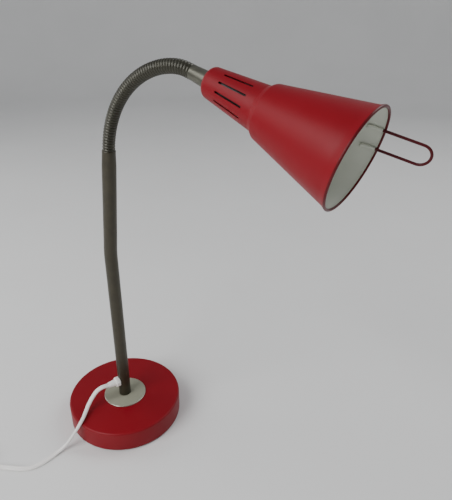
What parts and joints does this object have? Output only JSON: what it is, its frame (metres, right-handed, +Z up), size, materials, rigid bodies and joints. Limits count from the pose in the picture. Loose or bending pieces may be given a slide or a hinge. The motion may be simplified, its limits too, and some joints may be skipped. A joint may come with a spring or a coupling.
{
  "type": "gooseneck desk lamp",
  "caption": "Gooseneck desk lamp: round weighted base, bent stem, flexible neck, slotted conical shade with a wire handle, and a corded rocker switch.",
  "frame": {"origin": "centre of the foot pad's underside, on the surface the lamp stands on", "axes": "+Z up, +X the way the neck and shade reach, +Y to the left of that"},
  "size_m": [0.6102, 0.3142, 0.4949],
  "materials": {
    "red_paint": "satin",
    "dark_red_paint": "satin",
    "bronze_grey": "satin metallic",
    "neck_steel": "satin",
    "disc_grey": "satin",
    "steel": "plain",
    "iron": "raw",
    "brass": "plain",
    "white_plastic": "satin",
    "cord_white": "satin",
    "black_plastic": "satin",
    "foam": "matte",
    "bulb_glass": "frosted"
  },
  "bodies": {
    "base": {"base_cover": "red_paint", "base_weight": "iron", "base_plate": "steel", "foot_pad": "foam", "plate_screws": "steel", "stem_disc": "disc_grey", "stem_tube": "bronze_grey", "stem_bush": "steel", "stem_stud": "steel", "stem_washer": "steel", "stem_nut": "steel", "stem_cable": "cord_white", "cord_grommet": "white_plastic", "neck_stop_bush": "steel", "neck_start": "neck_steel", "cord_lead": "cord_white", "cord_coil": "cord_white", "cord_tie": "black_plastic", "plug_lead": "cord_white", "plug_body": "white_plastic", "plug_blades": "brass", "switch_base": "white_plastic", "switch_cover": "white_plastic", "switch_contacts": "brass", "switch_screws": "steel"},
    "neck_link_01": {"neck_link_01": "neck_steel"},
    "neck_link_02": {"neck_link_02": "neck_steel"},
    "neck_link_03": {"neck_link_03": "neck_steel"},
    "neck_link_04": {"neck_link_04": "neck_steel"},
    "neck_link_05": {"neck_link_05": "neck_steel"},
    "neck_link_06": {"neck_link_06": "neck_steel"},
    "neck_link_07": {"neck_link_07": "neck_steel"},
    "neck_link_08": {"neck_link_08": "neck_steel"},
    "neck_link_09": {"neck_link_09": "neck_steel"},
    "neck_link_10": {"neck_link_10": "neck_steel"},
    "neck_link_11": {"neck_link_11": "neck_steel"},
    "head": {"neck_end": "neck_steel", "head_collar": "bronze_grey", "shade": "red_paint", "handle_loop": "dark_red_paint", "head_nipple": "steel", "head_washer": "steel", "head_nut": "steel", "head_cable": "cord_white", "lampholder_cap": "black_plastic", "lampholder": "black_plastic", "screw_shell": "brass", "centre_contact": "brass", "bulb_cap": "steel", "bulb_glass": "bulb_glass"},
    "switch_rocker": {"switch_rocker": "red_paint"}
  },
  "joints": [
    {"name": "neck_bend", "type": "hinge", "parent": "base", "child": "neck_link_01", "pos_m": [0.0159, 0, 0.39931], "axis": [0.0005, 1, 0.0001], "range_deg": [-17, 8]},
    {"name": "neck_swing", "type": "hinge", "parent": "neck_link_01", "child": "neck_link_02", "pos_m": [0.01924, 0, 0.41281], "axis": [0.9532, 0, -0.3024], "range_deg": [-10, 10]},
    {"name": "neck_bend_2", "type": "hinge", "parent": "neck_link_02", "child": "neck_link_03", "pos_m": [0.02429, 0, 0.42576], "axis": [0.0005, 1, 0.0001], "range_deg": [-17, 8]},
    {"name": "neck_swing_2", "type": "hinge", "parent": "neck_link_03", "child": "neck_link_04", "pos_m": [0.03096, 0, 0.43795], "axis": [0.8443, 0, -0.5358], "range_deg": [-10, 10]},
    {"name": "neck_bend_3", "type": "hinge", "parent": "neck_link_04", "child": "neck_link_05", "pos_m": [0.03915, 0, 0.44918], "axis": [0.0005, 1, 0.0001], "range_deg": [-17, 8]},
    {"name": "neck_swing_3", "type": "hinge", "parent": "neck_link_05", "child": "neck_link_06", "pos_m": [0.04872, 0, 0.45926], "axis": [0.6794, 0, -0.7337], "range_deg": [-10, 10]},
    {"name": "neck_bend_4", "type": "hinge", "parent": "neck_link_06", "child": "neck_link_07", "pos_m": [0.05951, 0, 0.46803], "axis": [0.0005, 1, 0.0001], "range_deg": [-17, 8]},
    {"name": "neck_swing_4", "type": "hinge", "parent": "neck_link_07", "child": "neck_link_08", "pos_m": [0.07134, 0, 0.47533], "axis": [0.4691, 0, -0.8832], "range_deg": [-10, 10]},
    {"name": "neck_bend_5", "type": "hinge", "parent": "neck_link_08", "child": "neck_link_09", "pos_m": [0.08401, 0, 0.48104], "axis": [0.0005, 1, 0.0001], "range_deg": [-17, 8]},
    {"name": "neck_swing_5", "type": "hinge", "parent": "neck_link_09", "child": "neck_link_10", "pos_m": [0.09732, 0, 0.48503], "axis": [0.2181, 0, -0.9759], "range_deg": [-10, 10]},
    {"name": "neck_bend_6", "type": "hinge", "parent": "neck_link_10", "child": "neck_link_11", "pos_m": [0.11107, 0, 0.48709], "axis": [0.0005, 1, 0.0001], "range_deg": [-17, 8]},
    {"name": "neck_swing_6", "type": "hinge", "parent": "neck_link_11", "child": "head", "pos_m": [0.12497, 0, 0.48671], "axis": [-0.1644, 0, -0.9864], "range_deg": [-10, 10]},
    {"name": "switch_rock", "type": "hinge", "parent": "base", "child": "switch_rocker", "pos_m": [-0.0995, -0.199, 0.013], "axis": [0.5, -0.866, 0], "range_deg": [0, 12]}
  ],
  "couplings": [
    {"joint": "neck_bend_2", "follows": "neck_bend", "ratio": 1},
    {"joint": "neck_swing_2", "follows": "neck_swing", "ratio": 1},
    {"joint": "neck_bend_3", "follows": "neck_bend", "ratio": 1},
    {"joint": "neck_swing_3", "follows": "neck_swing", "ratio": 1},
    {"joint": "neck_bend_4", "follows": "neck_bend", "ratio": 1},
    {"joint": "neck_swing_4", "follows": "neck_swing", "ratio": 1},
    {"joint": "neck_bend_5", "follows": "neck_bend", "ratio": 1},
    {"joint": "neck_swing_5", "follows": "neck_swing", "ratio": 1},
    {"joint": "neck_bend_6", "follows": "neck_bend", "ratio": 1},
    {"joint": "neck_swing_6", "follows": "neck_swing", "ratio": 1}
  ]
}
